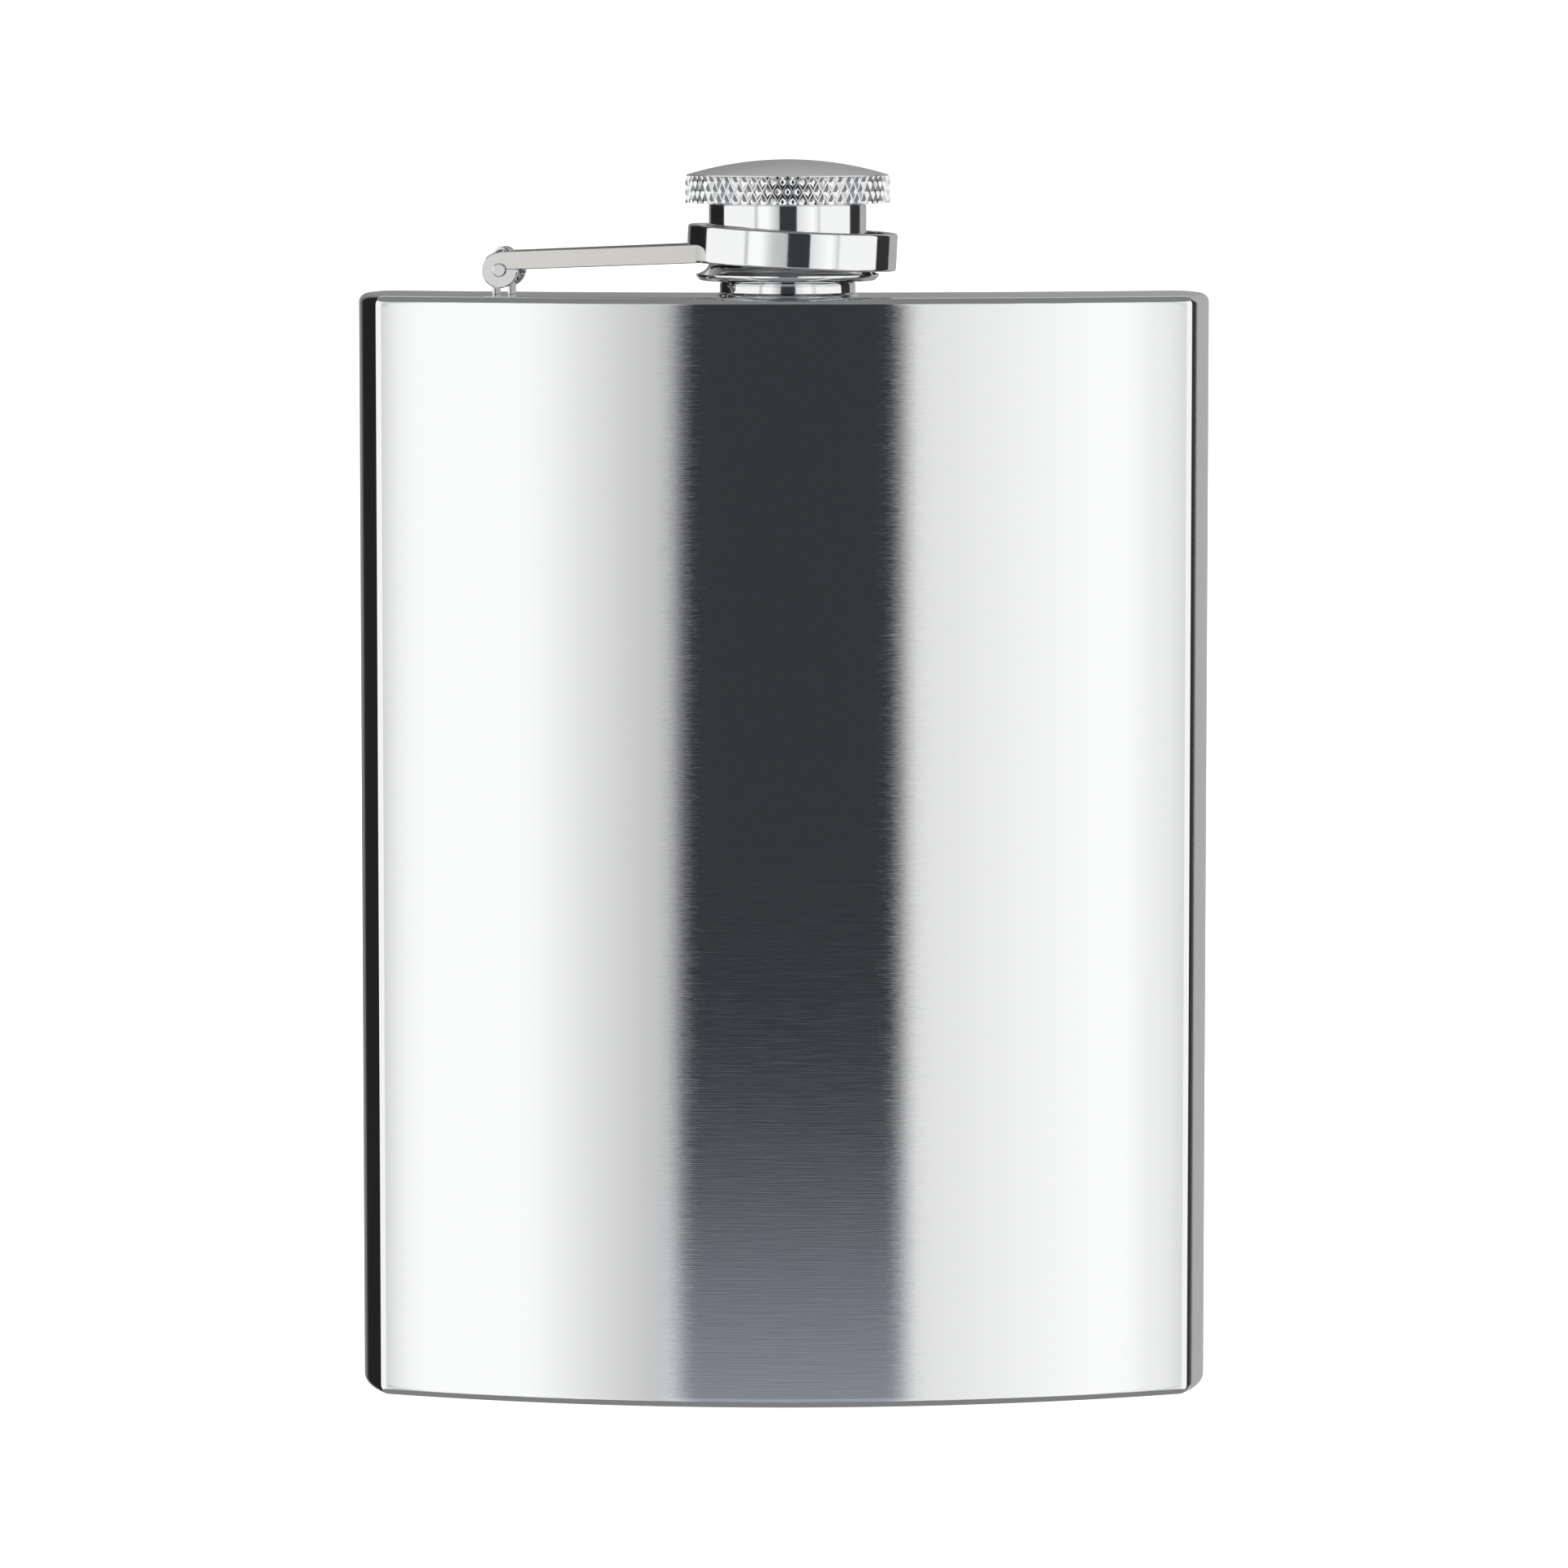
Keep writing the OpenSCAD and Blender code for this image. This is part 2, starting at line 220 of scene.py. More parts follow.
def deliver(obj, name, body, slot, material, *nodes, angle=35):
    """Names a piece, smooths its shading, gives it its material and ties it to its body."""
    obj.name = name
    obj.data.name = name
    start_fresh()
    obj.select_set(True)
    bpy.context.view_layer.objects.active = obj
    bpy.ops.object.shade_smooth_by_angle(angle=math.radians(angle))
    modify(obj, "WEIGHTED_NORMAL", keep_sharp=True, weight=100)
    obj.data.materials.clear()
    obj.data.materials.append(material)
    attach(obj, body)
    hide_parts(*nodes)
    return obj


# Outline of the body

def sag(radius, x):
    return radius - math.sqrt(radius * radius - x * x)


def arc_points(centre, radius, start, end, steps):
    """Points along an arc, without its last one."""
    return [centre + radius * Vector((math.cos(a), math.sin(a)))
            for a in (start + (end - start) * i / steps for i in range(steps))]


def crossing(c1, r1, c2, r2):
    """Where two circles cross, on the right-hand side of the flask."""
    line = c2 - c1
    gap = line.length
    along = (r1 * r1 - r2 * r2 + gap * gap) / (2 * gap)
    across = math.sqrt(r1 * r1 - along * along)
    return c1 + line * (along / gap) + Vector((-line.y, line.x)) * (across / gap)


def outline(sizes, inset, face_steps=40, corner_steps=10, side_steps=20):
    """Closed outline of the body, a distance inside its surface."""
    half_width = (BODY_HIGH.x - BODY_LOW.x) / 2
    end_x = half_width - sizes.front_corner
    end_y = (sag(sizes.front_radius, end_x) + sizes.middle + sag(sizes.back_radius, end_x)) / 2
    front = Vector((0, sizes.front_radius))
    back = Vector((0, sizes.middle + sizes.back_radius))
    side = Vector((half_width - sizes.side_radius, end_y))
    near = crossing(front, sizes.front_radius - sizes.front_corner,
                    side, sizes.side_radius - sizes.front_corner)
    far = crossing(back, sizes.back_radius + sizes.back_corner,
                   side, sizes.side_radius - sizes.back_corner)

    def heading(v):
        return math.atan2(v.y, v.x)

    half = [
        *arc_points(front, sizes.front_radius - inset, -math.pi / 2, heading(near - front), face_steps),
        *arc_points(near, sizes.front_corner - inset, heading(near - front), heading(near - side),
                    corner_steps),
        *arc_points(side, sizes.side_radius - inset, heading(near - side), heading(far - side), side_steps),
        *arc_points(far, sizes.back_corner - inset, heading(far - side), heading(back - far), corner_steps),
        *arc_points(back, sizes.back_radius + inset, heading(far - back), -math.pi / 2, face_steps),
        Vector((0, sizes.middle - inset)),
    ]
    mirrored = [Vector((-p.x, p.y)) for p in reversed(half[1:-1])]
    return [Vector((p.x, p.y + BODY_LOW.y)) for p in half + mirrored]


def at_height(points, z):
    return [(p.x, p.y, z) for p in points]


def lip_ring(sizes, z_low, z_high):
    """The upright strip that locates a plate inside the shell."""
    clearance, lip_wall = 0.05 * MM, 0.8 * MM
    obj = add_ring(at_height(outline(sizes, sizes.wall + clearance + lip_wall), z_low))
    edit(obj, "EDGE")
    bpy.ops.mesh.select_all(action="SELECT")
    bpy.ops.mesh.extrude_region_move(TRANSFORM_OT_translate={"value": (0, 0, z_high - z_low)})
    tidy_up()
    modify(obj, "SOLIDIFY", thickness=lip_wall, offset=1, use_even_offset=True)
    return obj


def rounded_plate(sizes, z_flat, z_rim):
    """A plate whose rim rounds in towards its flat face; z_rim is where it meets the shell."""
    obj = add_ring(at_height(outline(sizes, 0), z_rim), fill="NGON")
    edit(obj, "FACE")
    bpy.ops.mesh.select_all(action="SELECT")
    bpy.ops.mesh.extrude_region_move(TRANSFORM_OT_translate={"value": (0, 0, z_flat - z_rim)})
    bpy.ops.mesh.select_mode(type="EDGE")
    pick(obj, "edges", level_edge(z_flat))
    bpy.ops.mesh.bevel(offset=sizes.rim, segments=8, profile=0.5, clamp_overlap=True)
    bpy.ops.mesh.select_mode(type="FACE")
    pick(obj, "polygons", lambda mesh, face: len(face.vertices) > 100 and abs(face.center.z - z_flat) < 1e-6)
    bpy.ops.mesh.inset(thickness=0.15 * MM)
    tidy_up()
    return obj


# Materials

def new_material(name, colour, roughness, metallic=1.0):
    material = bpy.data.materials.new(name)
    material.use_nodes = True
    shader = material.node_tree.nodes["Principled BSDF"]
    shader.inputs["Base Color"].default_value = (*colour, 1)
    shader.inputs["Roughness"].default_value = roughness
    shader.inputs["Metallic"].default_value = metallic
    return material, material.node_tree.nodes, material.node_tree.links, shader


def object_noise(nodes, links, stretch, scale, detail=3.0, seed=0.0):
    """Noise in the object's own coordinates, stretched by a factor on each axis."""
    place_at = nodes.new("ShaderNodeTexCoord")
    mapping = nodes.new("ShaderNodeMapping")
    mapping.inputs["Scale"].default_value = stretch
    mapping.inputs["Location"].default_value = (seed, seed, seed)
    noise = nodes.new("ShaderNodeTexNoise")
    noise.inputs["Scale"].default_value = scale
    noise.inputs["Detail"].default_value = detail
    links.new(place_at.outputs["Object"], mapping.inputs["Vector"])
    links.new(mapping.outputs["Vector"], noise.inputs["Vector"])
    return noise


def spread(nodes, links, source, low, high):
    """Maps the middle of a noise value's range, 0.3 to 0.7, to another range."""
    ramp = nodes.new("ShaderNodeMapRange")
    ramp.inputs["From Min"].default_value = 0.3
    ramp.inputs["From Max"].default_value = 0.7
    ramp.inputs["To Min"].default_value = low
    ramp.inputs["To Max"].default_value = high
    links.new(source, ramp.inputs["Value"])
    return ramp.outputs["Result"]


def grain(nodes, links, shader, noise, strength, depth):
    """Turns noise into relief."""
    bump = nodes.new("ShaderNodeBump")
    bump.inputs["Strength"].default_value = strength
    bump.inputs["Distance"].default_value = depth
    links.new(noise.outputs["Fac"], bump.inputs["Height"])
    links.new(bump.outputs["Normal"], shader.inputs["Normal"])


def hairline_steel(name, colour, roughness, relief):
    """Polished steel with fine level hairlines round the piece."""
    material, nodes, links, shader = new_material(name, colour, roughness)
    lines = object_noise(nodes, links, (12, 12, 1400), 12, detail=4)
    grain(nodes, links, shader, lines, relief, 0.02 * MM)
    patches = object_noise(nodes, links, (30, 30, 900), 2, detail=2, seed=3.1)
    links.new(spread(nodes, links, patches.outputs["Fac"], roughness * 0.7, roughness * 1.5),
              shader.inputs["Roughness"])
    return material


def satin_steel(name, colour, roughness):
    """Fine sanded steel."""
    material, nodes, links, shader = new_material(name, colour, roughness)
    fine = object_noise(nodes, links, (200, 1400, 1400), 6, detail=4)
    grain(nodes, links, shader, fine, 0.25, 0.01 * MM)
    links.new(spread(nodes, links, fine.outputs["Fac"], roughness * 0.85, roughness * 1.2),
              shader.inputs["Roughness"])
    return material


def stamped_steel(name, colour, roughness):
    """Bright tumbled steel with faint handling marks."""
    material, nodes, links, shader = new_material(name, colour, roughness)
    marks = object_noise(nodes, links, (900, 900, 900), 1, detail=5)
    grain(nodes, links, shader, marks, 0.05, 0.02 * MM)
    links.new(spread(nodes, links, marks.outputs["Fac"], roughness * 0.6, roughness * 1.7),
              shader.inputs["Roughness"])
    return material


def gasket_silicone(name, colour):
    material, nodes, links, shader = new_material(name, colour, 0.45, metallic=0)
    shader.inputs["Subsurface Weight"].default_value = 0.3
    shader.inputs["Subsurface Radius"].default_value = (0.001, 0.001, 0.0008)
    skin = object_noise(nodes, links, (600, 600, 600), 2)
    grain(nodes, links, shader, skin, 0.2, 0.02 * MM)
    links.new(spread(nodes, links, skin.outputs["Fac"], 0.38, 0.55), shader.inputs["Roughness"])
    return material


def material_of(name, maker, *values):
    """The named material, made the first time it is asked for."""
    return bpy.data.materials.get(name) or maker(name, *values)


def body_steel():
    return material_of("hairline_body", hairline_steel, bpy.context.scene.flask_looks.steel, 0.035, 0.15)


def turned_steel():
    return material_of("turned_bright", hairline_steel, bpy.context.scene.flask_looks.steel, 0.06, 0.08)


def strap_steel():
    return material_of("stamped_bright", stamped_steel, bpy.context.scene.flask_looks.steel, 0.05)


def leg_steel():
    return material_of("brushed_legs", satin_steel, bpy.context.scene.flask_looks.legs, 0.2)


def dome_steel():
    return material_of("satin_dome", satin_steel, bpy.context.scene.flask_looks.satin, 0.34)


# Places on the flask

def at_cap():
    """The cap's axis, with height 0 on the top plate."""
    return Matrix.Translation((CAP_AXIS.x, CAP_AXIS.y, TOP))


def at_pin():
    """The hinge: X along the arm to the cap, height 0 at the pin."""
    return Matrix.Translation(PIN) @ Matrix.Rotation(ARM_TURN, 4, "Z")


def across_pin(y):
    """A piece turned round Z, laid along the pin, with its own zero at y."""
    return at_pin() @ Matrix.Translation((0, y * MM, 0)) @ Matrix.Rotation(-math.pi / 2, 4, "X")


# Pieces

class FLASK_OT_shell(bpy.types.Operator):
    """Wrapped shell of the body"""
    bl_idname = "flask.shell"
    bl_label = "Shell"

    def execute(self, context):
        sizes = context.scene.flask_sizes
        obj = add_ring(at_height(outline(sizes, 0), BODY_LOW.z))
        edit(obj, "EDGE")
        bpy.ops.mesh.select_all(action="SELECT")
        bpy.ops.mesh.extrude_region_move(
            TRANSFORM_OT_translate={"value": (0, 0, BODY_HIGH.z - BODY_LOW.z)})
        tidy_up()
        modify(obj, "SOLIDIFY", thickness=sizes.wall, offset=-1, use_even_offset=True)
        deliver(obj, "flask_shell", "flask", "polished_steel", body_steel(), "body_shell", angle=50)
        return {"FINISHED"}


class FLASK_OT_plates(bpy.types.Operator):
    """Top and bottom plates with their rounded rims"""
    bl_idname = "flask.plates"
    bl_label = "Plates"

    def execute(self, context):
        sizes = context.scene.flask_sizes
        base = join(rounded_plate(sizes, 0, BODY_LOW.z),
                    lip_ring(sizes, BODY_LOW.z, BODY_LOW.z + sizes.lip))
        deliver(base, "flask_base", "flask", "polished_steel", body_steel(), "bottom_plate", angle=50)

        top = rounded_plate(sizes, TOP, BODY_HIGH.z)
        hole_radius = 6.75 * MM
        start_fresh()
        bpy.ops.mesh.primitive_cylinder_add(vertices=96, radius=hole_radius, depth=6 * sizes.plate,
                                            location=(CAP_AXIS.x, CAP_AXIS.y, TOP))
        drill = bpy.context.object
        modify(top, "BOOLEAN", object=drill, operation="DIFFERENCE", solver="EXACT")
        bpy.data.objects.remove(drill)
        top = join(top, lip_ring(sizes, BODY_HIGH.z - sizes.lip, BODY_HIGH.z))
        deliver(top, "flask_top", "flask", "polished_steel", body_steel(), "top_plate", angle=50)
        return {"FINISHED"}


def thread(profile, start_turn, z0, turns, pitch):
    """A helical ridge from a four-sided profile of (radius, height above its middle)."""
    obj = add_ring([(r * MM, 0, (z0 + z) * MM) for r, z in profile])
    place(obj, Matrix.Rotation(start_turn, 4, "Z"))
    modify(obj, "SCREW", angle=turns * 2 * math.pi, screw_offset=turns * pitch, steps=int(96 * turns),
           render_steps=int(96 * turns), axis="Z", use_normal_calculate=True)
    edit(obj)
    bpy.ops.mesh.select_all(action="SELECT")
    bpy.ops.mesh.fill_holes(sides=4)
    tidy_up()
    return obj


class FLASK_OT_neck(bpy.types.Operator):
    """Threaded neck, welded to the top plate"""
    bl_idname = "flask.neck"
    bl_label = "Neck"

    def execute(self, context):
        pitch = context.scene.flask_cap.thread_pitch
        tube = turned([
            (5.9, -1.2), (6.7, -1.2), (6.7, 0), (7.85, 0), (7.8, 0.12), (7.62, 0.27), (7.5, 0.36),
            (7.5, 1.25), (7.42, 1.44), (7.25, 1.5), (6.7, 1.5), (6.7, 7.75), (6.6, 7.92), (6.4, 8),
            (6.1, 8), (5.95, 7.94), (5.9, 7.8)
        ])
        ridge = thread([(6.45, -0.375), (7.3, -0.225), (7.3, 0.225), (6.45, 0.375)], 0, 2.8, 2.9, pitch)
        place(tube, at_cap())
        place(ridge, at_cap())
        deliver(join(tube, ridge), "neck_tube", "flask", "turned_steel", turned_steel(), "neck")
        return {"FINISHED"}


def dome_points(radius_mm, top, edge, steps=24):
    """Points down a dome from its middle to its edge, in millimetres."""
    return [(edge * i / steps, top - sag(radius_mm, edge * i / steps)) for i in range(steps + 1)]


def knurl_row(count, root, depth, z, turn, half_width, half_height):
    """One row of knurling teeth: a single tooth, spun round the cap."""
    start_fresh()
    sink = 0.05
    bpy.ops.mesh.primitive_cone_add(vertices=4, radius1=0.96, radius2=0.3, depth=1)
    tooth = bpy.context.object
    shape = (Matrix.Rotation(turn, 4, "Z") @ Matrix.Translation(((root + (depth - sink) / 2) * MM, 0, z * MM))
             @ Matrix.Rotation(math.pi / 2, 4, "Y")
             @ Matrix.Diagonal((half_height * MM, half_width * MM, (depth + sink) * MM, 1)))
    place(tooth, shape)
    edit(tooth)
    bpy.ops.mesh.select_all(action="SELECT")
    bpy.ops.mesh.spin(steps=count, angle=2 * math.pi, dupli=True, center=(0, 0, 0), axis=(0, 0, 1))
    bpy.ops.object.mode_set(mode="OBJECT")
    return tooth


def trim(obj, z, up):
    """Cuts a piece off at a height and closes the cut."""
    edit(obj)
    bpy.ops.mesh.select_all(action="SELECT")
    bpy.ops.mesh.bisect(plane_co=(0, 0, z * MM), plane_no=(0, 0, 1), use_fill=True,
                        clear_outer=up, clear_inner=not up)
    bpy.ops.object.mode_set(mode="OBJECT")


class FLASK_OT_cap_head(bpy.types.Operator):
    """Domed, knurled head of the cap"""
    bl_idname = "flask.cap_head"
    bl_label = "Cap head"

    def execute(self, context):
        cap = context.scene.flask_cap
        low = (CAP_LOW.z - TOP) / MM
        dome_top = (CAP_HIGH.z - TOP) / MM
        tip = (CAP_HIGH.x - CAP_LOW.x) / 2 / MM
        depth = cap.knurl_depth / MM
        root = tip - depth
        edge = tip - 0.12
        dome = dome_points(cap.dome_radius / MM, dome_top, edge)
        edge_z = dome[-1][1]
        head = turned([
            *dome, (edge - 0.02, edge_z - 0.1), (root, edge_z - 0.2), (root, low + 0.12), (root - 0.1, low),
            (8.3, low), (8.2, low + 0.1), (8.2, low + 1.4), (0, low + 1.4)
        ], steps=192)
        place(head, at_cap())
        deliver(head, "cap_dome", "cap", "cap_steel", dome_steel(), "cap_head", angle=30)

        count = cap.knurl_count
        half_width = math.pi * tip / count
        half_height = half_width * 1.87
        rows = [knurl_row(count, root, depth, low + 0.29 + half_height * k, math.pi / count * (k % 2),
                          half_width, half_height) for k in range(-1, 4)]
        teeth = join(*rows)
        edit(teeth)
        tidy_up()
        trim(teeth, low + 0.02, False)
        trim(teeth, edge_z - 0.06, True)
        place(teeth, at_cap())
        deliver(teeth, "cap_knurling", "cap", "cap_steel", turned_steel(), "cap_head", angle=5)
        return {"FINISHED"}


def flare_points(steps=10):
    """The hollow curve from the flange's edge up to the sleeve, in millimetres."""
    low, bend, high = Vector((10.1, 2.35)), Vector((8.8, 2.7)), Vector((8.7, 3.55))
    return [tuple((1 - t) ** 2 * low + 2 * t * (1 - t) * bend + t * t * high)
            for t in (i / steps for i in range(steps + 1))]


class FLASK_OT_cap_sleeve(bpy.types.Operator):
    """Sleeve of the cap with its flange and inner thread"""
    bl_idname = "flask.cap_sleeve"
    bl_label = "Cap sleeve"

    def execute(self, context):
        pitch = context.scene.flask_cap.thread_pitch
        sleeve = turned([
            (7.65, 1.65), (9.5, 1.65), (9.68, 1.71), (10.04, 2.08), (10.1, 2.2), *flare_points(),
            (8.7, 9.9), (8.6, 10.2), (8.18, 10.2), (8.18, 11.2), (0, 11.2), (0, 9.3), (7.55, 9.3),
            (7.55, 1.75)
        ])
        ridge = thread([(7.8, -0.375), (6.95, -0.225), (6.95, 0.225), (7.8, 0.375)], math.pi, 5.8, 1.25,
                       pitch)
        place(sleeve, at_cap())
        place(ridge, at_cap())
        deliver(join(sleeve, ridge), "cap_sleeve_tube", "cap", "turned_steel", turned_steel(), "cap_sleeve")
        return {"FINISHED"}


class FLASK_OT_gasket(bpy.types.Operator):
    """Silicone disc that seals on the neck"""
    bl_idname = "flask.gasket"
    bl_label = "Gasket"

    def execute(self, context):
        disc = turned([
            (0, 8.2), (5.4, 8.2), (5.6, 8.12), (5.75, 8.05), (7.05, 8.05), (7.17, 8.15), (7.17, 9.12),
            (7.05, 9.22), (0, 9.22)
        ], steps=96)
        place(disc, at_cap())
        colour = context.scene.flask_looks.silicone
        deliver(disc, "cap_seal", "cap", "gasket_silicone",
                material_of("clear_silicone", gasket_silicone, colour), "cap_gasket")
        return {"FINISHED"}


def oval(radius, straight, steps=64):
    """A ring's outline: two half circles with a straight between them, in millimetres."""
    right = [Vector((straight / 2, 0)) + radius * Vector((math.cos(a), math.sin(a)))
             for a in (math.pi * (i / steps - 0.5) for i in range(steps + 1))]
    return [Vector(p * MM) for p in right + [-p for p in right]]


class FLASK_OT_strap(bpy.types.Operator):
    """Strap with its ring, two legs and two eyes"""
    bl_idname = "flask.strap"
    bl_label = "Retaining strap"

    def execute(self, context):
        thick, band, leg_high = 1.1, 4.15, 2.05
        dip, rise = math.radians(2.8), math.radians(2.3)
        arm = ARM.length / MM
        ring_u, ring_z, join_u = arm + 0.5, 2.534, 23.18
        splay = math.radians(5.64)

        ring = add_ring([(p.x, p.y, -band / 2 * MM) for p in oval(10.9, 1.4)])
        edit(ring, "EDGE")
        bpy.ops.mesh.select_all(action="SELECT")
        bpy.ops.mesh.extrude_region_move(TRANSFORM_OT_translate={"value": (0, 0, band * MM)})
        tidy_up()
        modify(ring, "SOLIDIFY", thickness=thick * MM, offset=-1, use_even_offset=True)
        soften(ring, 0.3, 4)
        place(ring, at_pin() @ Matrix.Translation((ring_u * MM, 0, ring_z * MM))
              @ Matrix.Rotation(dip, 4, "Y"))

        legs, eyes = [], []
        eye_y, join_v = 2.36, 5.2
        for side in (-1, 1):
            start_fresh()
            bpy.ops.mesh.primitive_cube_add(size=1)
            leg = bpy.context.object
            length = math.hypot(join_u, join_v - eye_y - thick / 2)
            place(leg, at_pin() @ Matrix.Translation((0, side * (eye_y + thick / 2) * MM, leg_high / 2 * MM))
                  @ Matrix.Rotation(side * splay, 4, "Z") @ Matrix.Rotation(-rise, 4, "Y")
                  @ Matrix.Translation((length / 2 * MM, 0, 0))
                  @ Matrix.Diagonal((length * MM, thick * MM, leg_high * MM, 1)))
            soften(leg, 0.12, 3)
            eye = turned([
                (0.66, -0.5), (0.71, -0.55), (1.88, -0.55), (2, -0.43), (2, 0.43), (1.88, 0.55), (0.71, 0.55),
                (0.66, 0.5)
            ], steps=96)
            place(eye, across_pin((eye_y + thick / 2) * side))
            legs.append(leg)
            eyes.append(eye)
        deliver(join(ring, *eyes), "strap_ring_and_eyes", "strap", "strap_steel", strap_steel(),
                "retaining_strap")
        deliver(join(*legs), "strap_legs", "strap", "strap_steel", leg_steel(), "retaining_strap")
        return {"FINISHED"}


class FLASK_OT_hinge(bpy.types.Operator):
    """Staple, rivet and spacer washers of the hinge"""
    bl_idname = "flask.hinge"
    bl_label = "Hinge"

    def execute(self, context):
        lug_top = (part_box("hinge_lug")[1].z - TOP) / MM
        rest = (PIN.z - TOP) / MM
        half, gauge, strip_width, bend_steps = 0.87, 0.42, 3.4, 24
        arch = lug_top - rest - half - gauge / 2
        bend = [(half * math.cos(a), arch + half * math.sin(a))
                for a in (math.pi * i / bend_steps for i in range(bend_steps + 1))]
        path = [(half, -rest), *bend, (-half, -rest)]
        start_fresh()
        bpy.ops.mesh.primitive_grid_add(x_subdivisions=len(path) - 1, y_subdivisions=1, size=1)
        staple = bpy.context.object
        for vertex in staple.data.vertices:
            x, z = path[round((vertex.co.x + 0.5) * (len(path) - 1))]
            vertex.co = (x * MM, vertex.co.y * strip_width * MM, z * MM)
        edit(staple)
        tidy_up()
        modify(staple, "SOLIDIFY", thickness=gauge * MM, offset=0, use_even_offset=True)
        soften(staple, 0.08, 2)
        place(staple, at_pin())
        deliver(staple, "hinge_staple", "flask", "strap_steel", strap_steel(), "hinge_lug")

        head = 3.54
        rivet = turned([
            (0, -head - 0.35), (0.64, -head - 0.35), (0.75, -head - 0.24), (0.75, -head), (0.6, -head),
            (0.6, head), (0.75, head), (0.75, head + 0.24), (0.64, head + 0.35), (0, head + 0.35)
        ], steps=64)
        place(rivet, across_pin(0))
        deliver(rivet, "hinge_rivet", "rivet", "strap_steel", strap_steel(), "hinge_pin")

        washer_y = 2.03
        for side, name in ((-1, "front_washer"), (1, "rear_washer")):
            ring = turned([
                (0.66, -0.25), (1.77, -0.25), (1.85, -0.17), (1.85, 0.17), (1.77, 0.25), (0.66, 0.25)
            ], steps=96)
            place(ring, across_pin(side * washer_y))
            deliver(ring, name + "_ring", "rivet", "strap_steel", strap_steel(), name)
        return {"FINISHED"}


# Studio

def emission_material(name, strength):
    material = bpy.data.materials.new(name)
    material.use_nodes = True
    nodes, links = material.node_tree.nodes, material.node_tree.links
    nodes.remove(nodes["Principled BSDF"])
    glow = nodes.new("ShaderNodeEmission")
    glow.inputs["Strength"].default_value = strength
    links.new(glow.outputs["Emission"], nodes["Material Output"].inputs["Surface"])
    return material, nodes, links, glow


def band_ramp(nodes, stops):
    """A colour ramp over a full turn; stops are (degrees from the front, grey)."""
    ramp = nodes.new("ShaderNodeValToRGB")
    elements = ramp.color_ramp.elements
    for i, (degrees, grey) in enumerate(stops):
        at = (degrees + 180) / 360
        element = elements[i] if i < 2 else elements.new(at)
        element.position = at
        element.color = (grey, grey, grey, 1)
    return ramp


def math_node(nodes, links, operation, first, second=None):
    node = nodes.new("ShaderNodeMath")
    node.operation = operation
    for socket, value in zip(node.inputs, (first, second)):
        if value is None:
            continue
        if isinstance(value, (int, float)):
            socket.default_value = value
        else:
            links.new(value, socket)
    return node.outputs[0]


def light_wall():
    """A round wall of soft light with a dark gap behind the camera, seen only in the steel."""
    start_fresh()
    bpy.ops.mesh.primitive_cylinder_add(vertices=180, radius=0.95, depth=1.4, end_fill_type="NOTHING",
                                        location=(0, 0, 0))
    wall = bpy.context.object
    wall.name = "light_wall"
    material, nodes, links, glow = emission_material("light_wall", 1.0)
    coordinates = nodes.new("ShaderNodeTexCoord")
    split = nodes.new("ShaderNodeSeparateXYZ")
    links.new(coordinates.outputs["Object"], split.inputs["Vector"])
    front = math_node(nodes, links, "MULTIPLY", split.outputs["Y"], -1)
    angle = math_node(nodes, links, "ARCTAN2", split.outputs["X"], front)
    turn = math_node(nodes, links, "DIVIDE", angle, 2 * math.pi)
    share = math_node(nodes, links, "ADD", turn, 0.5)
    ramp = band_ramp(nodes, [
        (-180, 0.28), (-158, 0.24), (-150, 0.02), (-107, 0.02), (-106, 1.15), (-50, 1.15), (-46.5, 0.6),
        (-43.5, 1.12), (-41, 1.22), (-29, 1.22), (-26, 1.12), (-20, 0.88), (-12.6, 0.64), (-12.3, 0.0),
        (13.0, 0.0), (13.2, 0.9), (17.5, 0.98), (26, 1.1), (35, 1.22), (39.5, 1.22), (40.5, 1.08),
        (43.5, 1.07), (46, 0.75), (50, 1.15), (103, 1.15), (104, 0.04), (131, 0.04), (133, 0.5),
        (165, 0.46), (180, 0.28)
    ])
    links.new(share, ramp.inputs["Fac"])

    low = nodes.new("ShaderNodeMapRange")
    low.inputs["From Min"].default_value = -0.24
    low.inputs["From Max"].default_value = -0.09
    low.inputs["To Min"].default_value = 0.42
    low.inputs["To Max"].default_value = 0.047
    low.interpolation_type = "SMOOTHSTEP"
    links.new(split.outputs["Z"], low.inputs["Value"])
    tint = nodes.new("ShaderNodeMix")
    tint.data_type = "RGBA"
    tint.blend_type = "MULTIPLY"
    tint.inputs["Factor"].default_value = 1
    tint.inputs["B"].default_value = (0.93, 1.0, 1.15, 1)
    links.new(low.outputs["Result"], tint.inputs["A"])
    add = nodes.new("ShaderNodeMix")
    add.data_type = "RGBA"
    add.blend_type = "ADD"
    add.inputs["Factor"].default_value = 1
    links.new(ramp.outputs["Color"], add.inputs["A"])
    gap = math_node(nodes, links, "LESS_THAN", math_node(nodes, links, "ABSOLUTE", angle), math.radians(13))
    masked = nodes.new("ShaderNodeMix")
    masked.data_type = "RGBA"
    masked.inputs["A"].default_value = (0, 0, 0, 1)
    links.new(gap, masked.inputs["Factor"])
    links.new(tint.outputs["Result"], masked.inputs["B"])
    links.new(masked.outputs["Result"], add.inputs["B"])
    links.new(add.outputs["Result"], glow.inputs["Color"])
    wall.data.materials.append(material)
    wall.visible_camera = False
    wall.visible_shadow = False


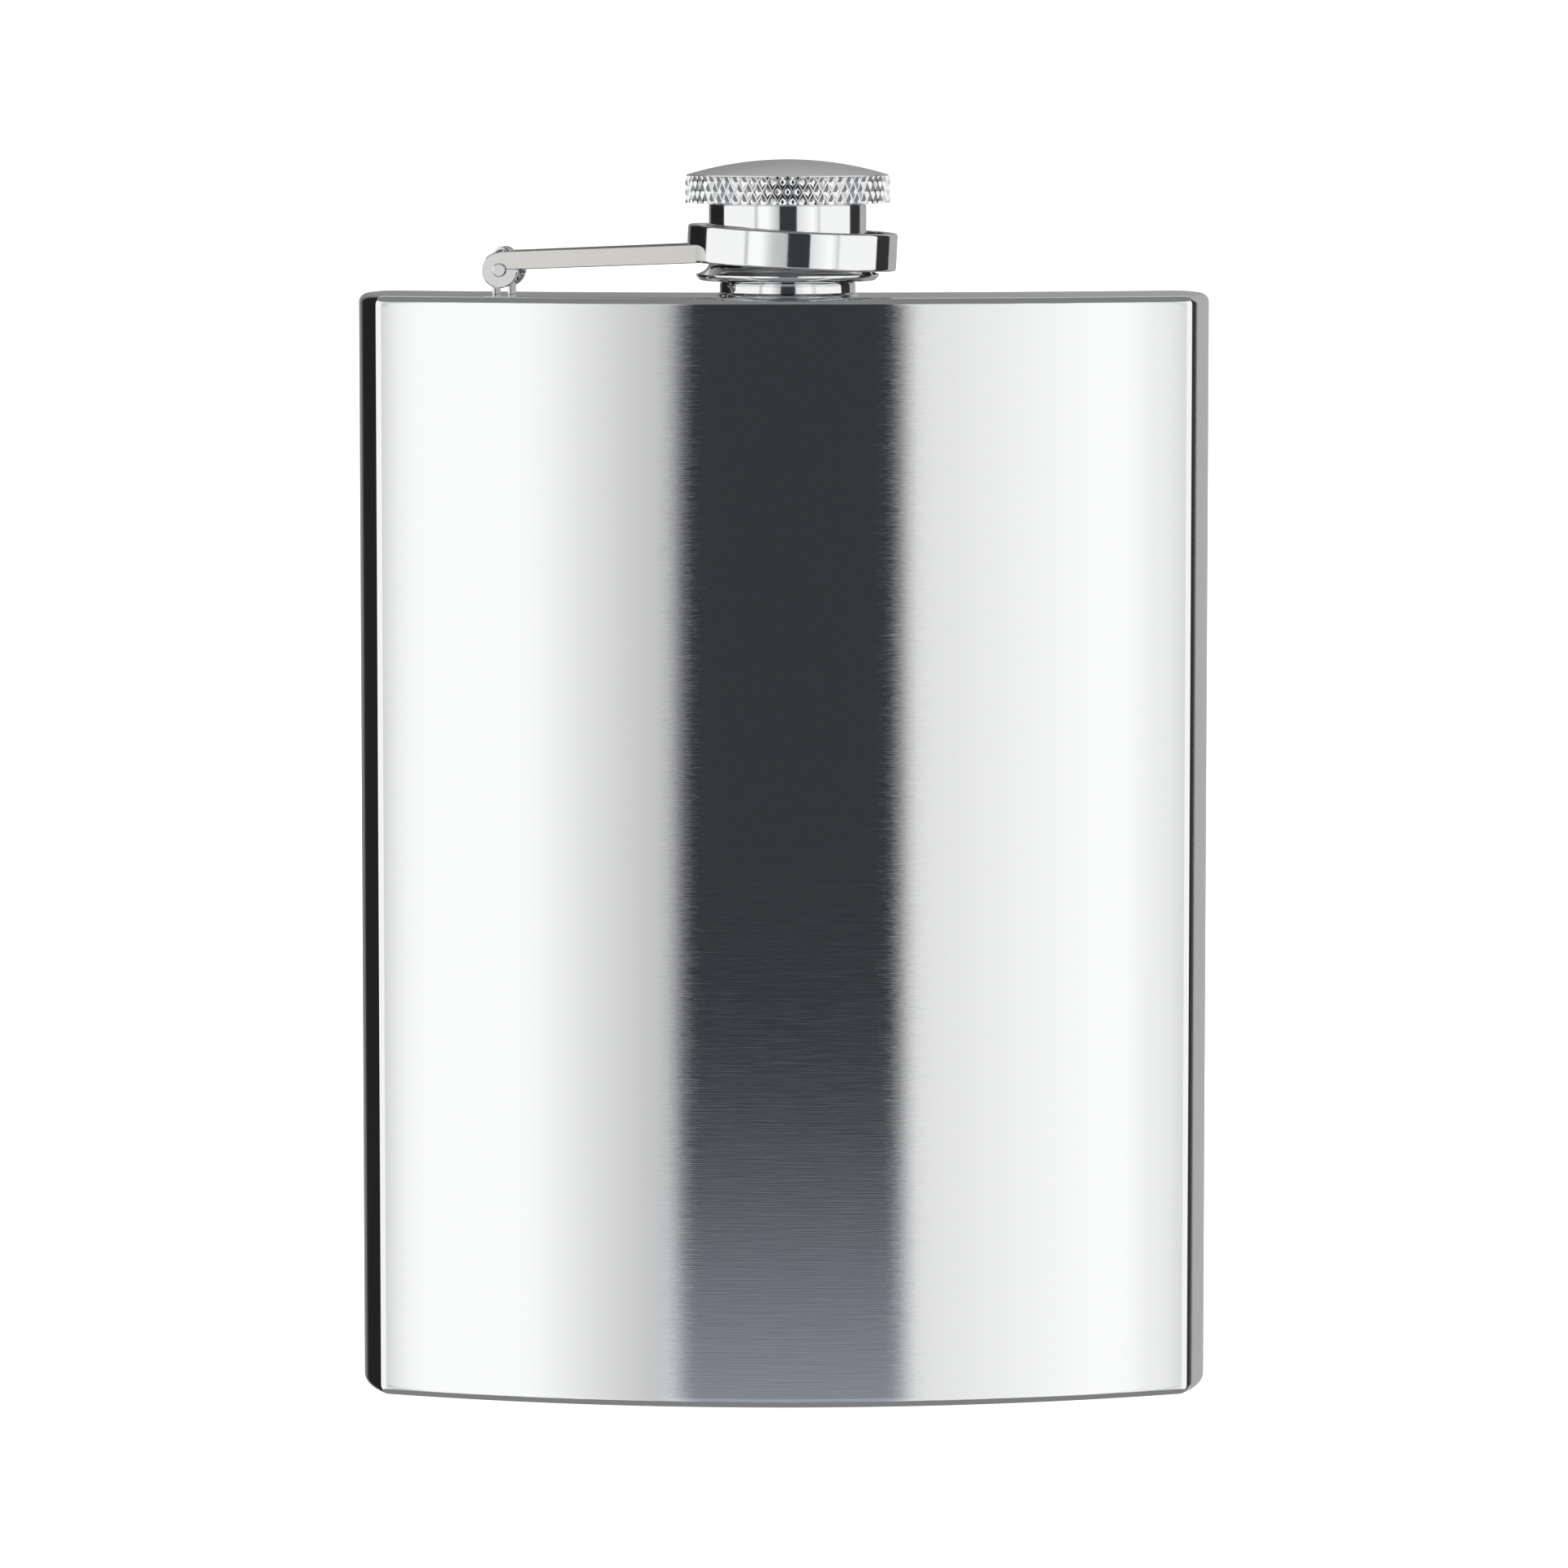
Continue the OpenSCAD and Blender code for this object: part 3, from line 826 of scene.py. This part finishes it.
def back_panel():
    """A tall grey panel behind the flask, seen only in the steel."""
    start_fresh()
    bpy.ops.mesh.primitive_plane_add(size=1, location=(0, 0.93, 1.1), rotation=(math.pi / 2, 0, 0))
    panel = bpy.context.object
    panel.name = "back_panel"
    panel.scale = (1.3, 0.8, 1)
    material = emission_material("back_panel", 0.6)[0]
    panel.data.materials.append(material)
    panel.visible_camera = False
    panel.visible_shadow = False


def studio_floor(colour):
    start_fresh()
    bpy.ops.mesh.primitive_plane_add(size=40, location=(0, 0, -0.0002))
    floor = bpy.context.object
    floor.name = "studio_floor"
    material, nodes, links, shader = new_material("floor_paper", colour, 0.7, metallic=0)
    tooth = object_noise(nodes, links, (40, 40, 40), 3)
    grain(nodes, links, shader, tooth, 0.02, 0.1 * MM)
    shader.inputs["Emission Color"].default_value = (1, 1, 1, 1)
    shader.inputs["Emission Strength"].default_value = 1.0
    floor.data.materials.append(material)
    floor.visible_glossy = False


class FLASK_OT_studio(bpy.types.Operator):
    """Camera, floor and soft light"""
    bl_idname = "flask.studio"
    bl_label = "Studio"

    def execute(self, context):
        scene = context.scene
        looks = scene.flask_looks
        scene.view_settings.view_transform = "Standard"
        world = bpy.data.worlds.new("studio_world")
        scene.world = world
        world.use_nodes = True
        nodes, links = world.node_tree.nodes, world.node_tree.links
        seen, around = nodes["Background"], nodes.new("ShaderNodeBackground")
        seen.inputs["Color"].default_value = (1, 1, 1, 1)
        around.inputs["Color"].default_value = (0.26, 0.265, 0.27, 1)
        path, mix = nodes.new("ShaderNodeLightPath"), nodes.new("ShaderNodeMixShader")
        links.new(path.outputs["Is Camera Ray"], mix.inputs["Fac"])
        links.new(around.outputs["Background"], mix.inputs[1])
        links.new(seen.outputs["Background"], mix.inputs[2])
        links.new(mix.outputs["Shader"], nodes["World Output"].inputs["Surface"])

        light_wall()
        back_panel()
        studio_floor(looks.floor)

        start_fresh()
        bpy.ops.object.light_add(type="AREA", location=(0, 0, 1.3))
        overhead = bpy.context.object
        overhead.name = "overhead_softbox"
        overhead.data.shape = "SQUARE"
        overhead.data.size = 0.7
        overhead.data.energy = 6
        overhead.visible_glossy = False

        distance, height, dip = 0.75, 0.148, 4.865
        bpy.ops.object.camera_add(location=(0, -distance, height))
        camera = bpy.context.object
        camera.name = "studio_camera"
        camera.rotation_euler = (math.radians(90 - dip), 0, 0)
        camera.data.sensor_width = 36
        camera.data.lens = 155
        camera.data.shift_y = -0.09
        camera.data.clip_start = 0.01
        scene.camera = camera
        return {"FINISHED"}


class FLASK_PT_panel(bpy.types.Panel):
    """Sidebar panel"""
    bl_idname = "FLASK_PT_panel"
    bl_label = "Hip flask"
    bl_space_type = "VIEW_3D"
    bl_region_type = "UI"
    bl_category = "Hip flask"

    def draw(self, context):
        for operator in OPERATORS:
            self.layout.operator(operator.bl_idname)
        for group in (context.scene.flask_sizes, context.scene.flask_cap, context.scene.flask_looks):
            for key in group.__annotations__:
                self.layout.prop(group, key)


OPERATORS = (
    FLASK_OT_studio, FLASK_OT_shell, FLASK_OT_plates, FLASK_OT_neck, FLASK_OT_cap_head, FLASK_OT_cap_sleeve,
    FLASK_OT_gasket, FLASK_OT_strap, FLASK_OT_hinge,
)
CLASSES = (FlaskSizes, CapSizes, SteelLooks, *OPERATORS, FLASK_PT_panel)


def register():
    for cls in CLASSES:
        bpy.utils.register_class(cls)
    bpy.types.Scene.flask_sizes = PointerProperty(type=FlaskSizes)
    bpy.types.Scene.flask_cap = PointerProperty(type=CapSizes)
    bpy.types.Scene.flask_looks = PointerProperty(type=SteelLooks)


def unregister():
    del bpy.types.Scene.flask_looks
    del bpy.types.Scene.flask_cap
    del bpy.types.Scene.flask_sizes
    for cls in reversed(CLASSES):
        bpy.utils.unregister_class(cls)


def main():
    register()
    bpy.ops.flask.studio()
    bpy.ops.flask.shell()
    bpy.ops.flask.plates()
    bpy.ops.flask.neck()
    bpy.ops.flask.cap_head()
    bpy.ops.flask.cap_sleeve()
    bpy.ops.flask.gasket()
    bpy.ops.flask.strap()
    bpy.ops.flask.hinge()


if __name__ == "__main__":
    main()
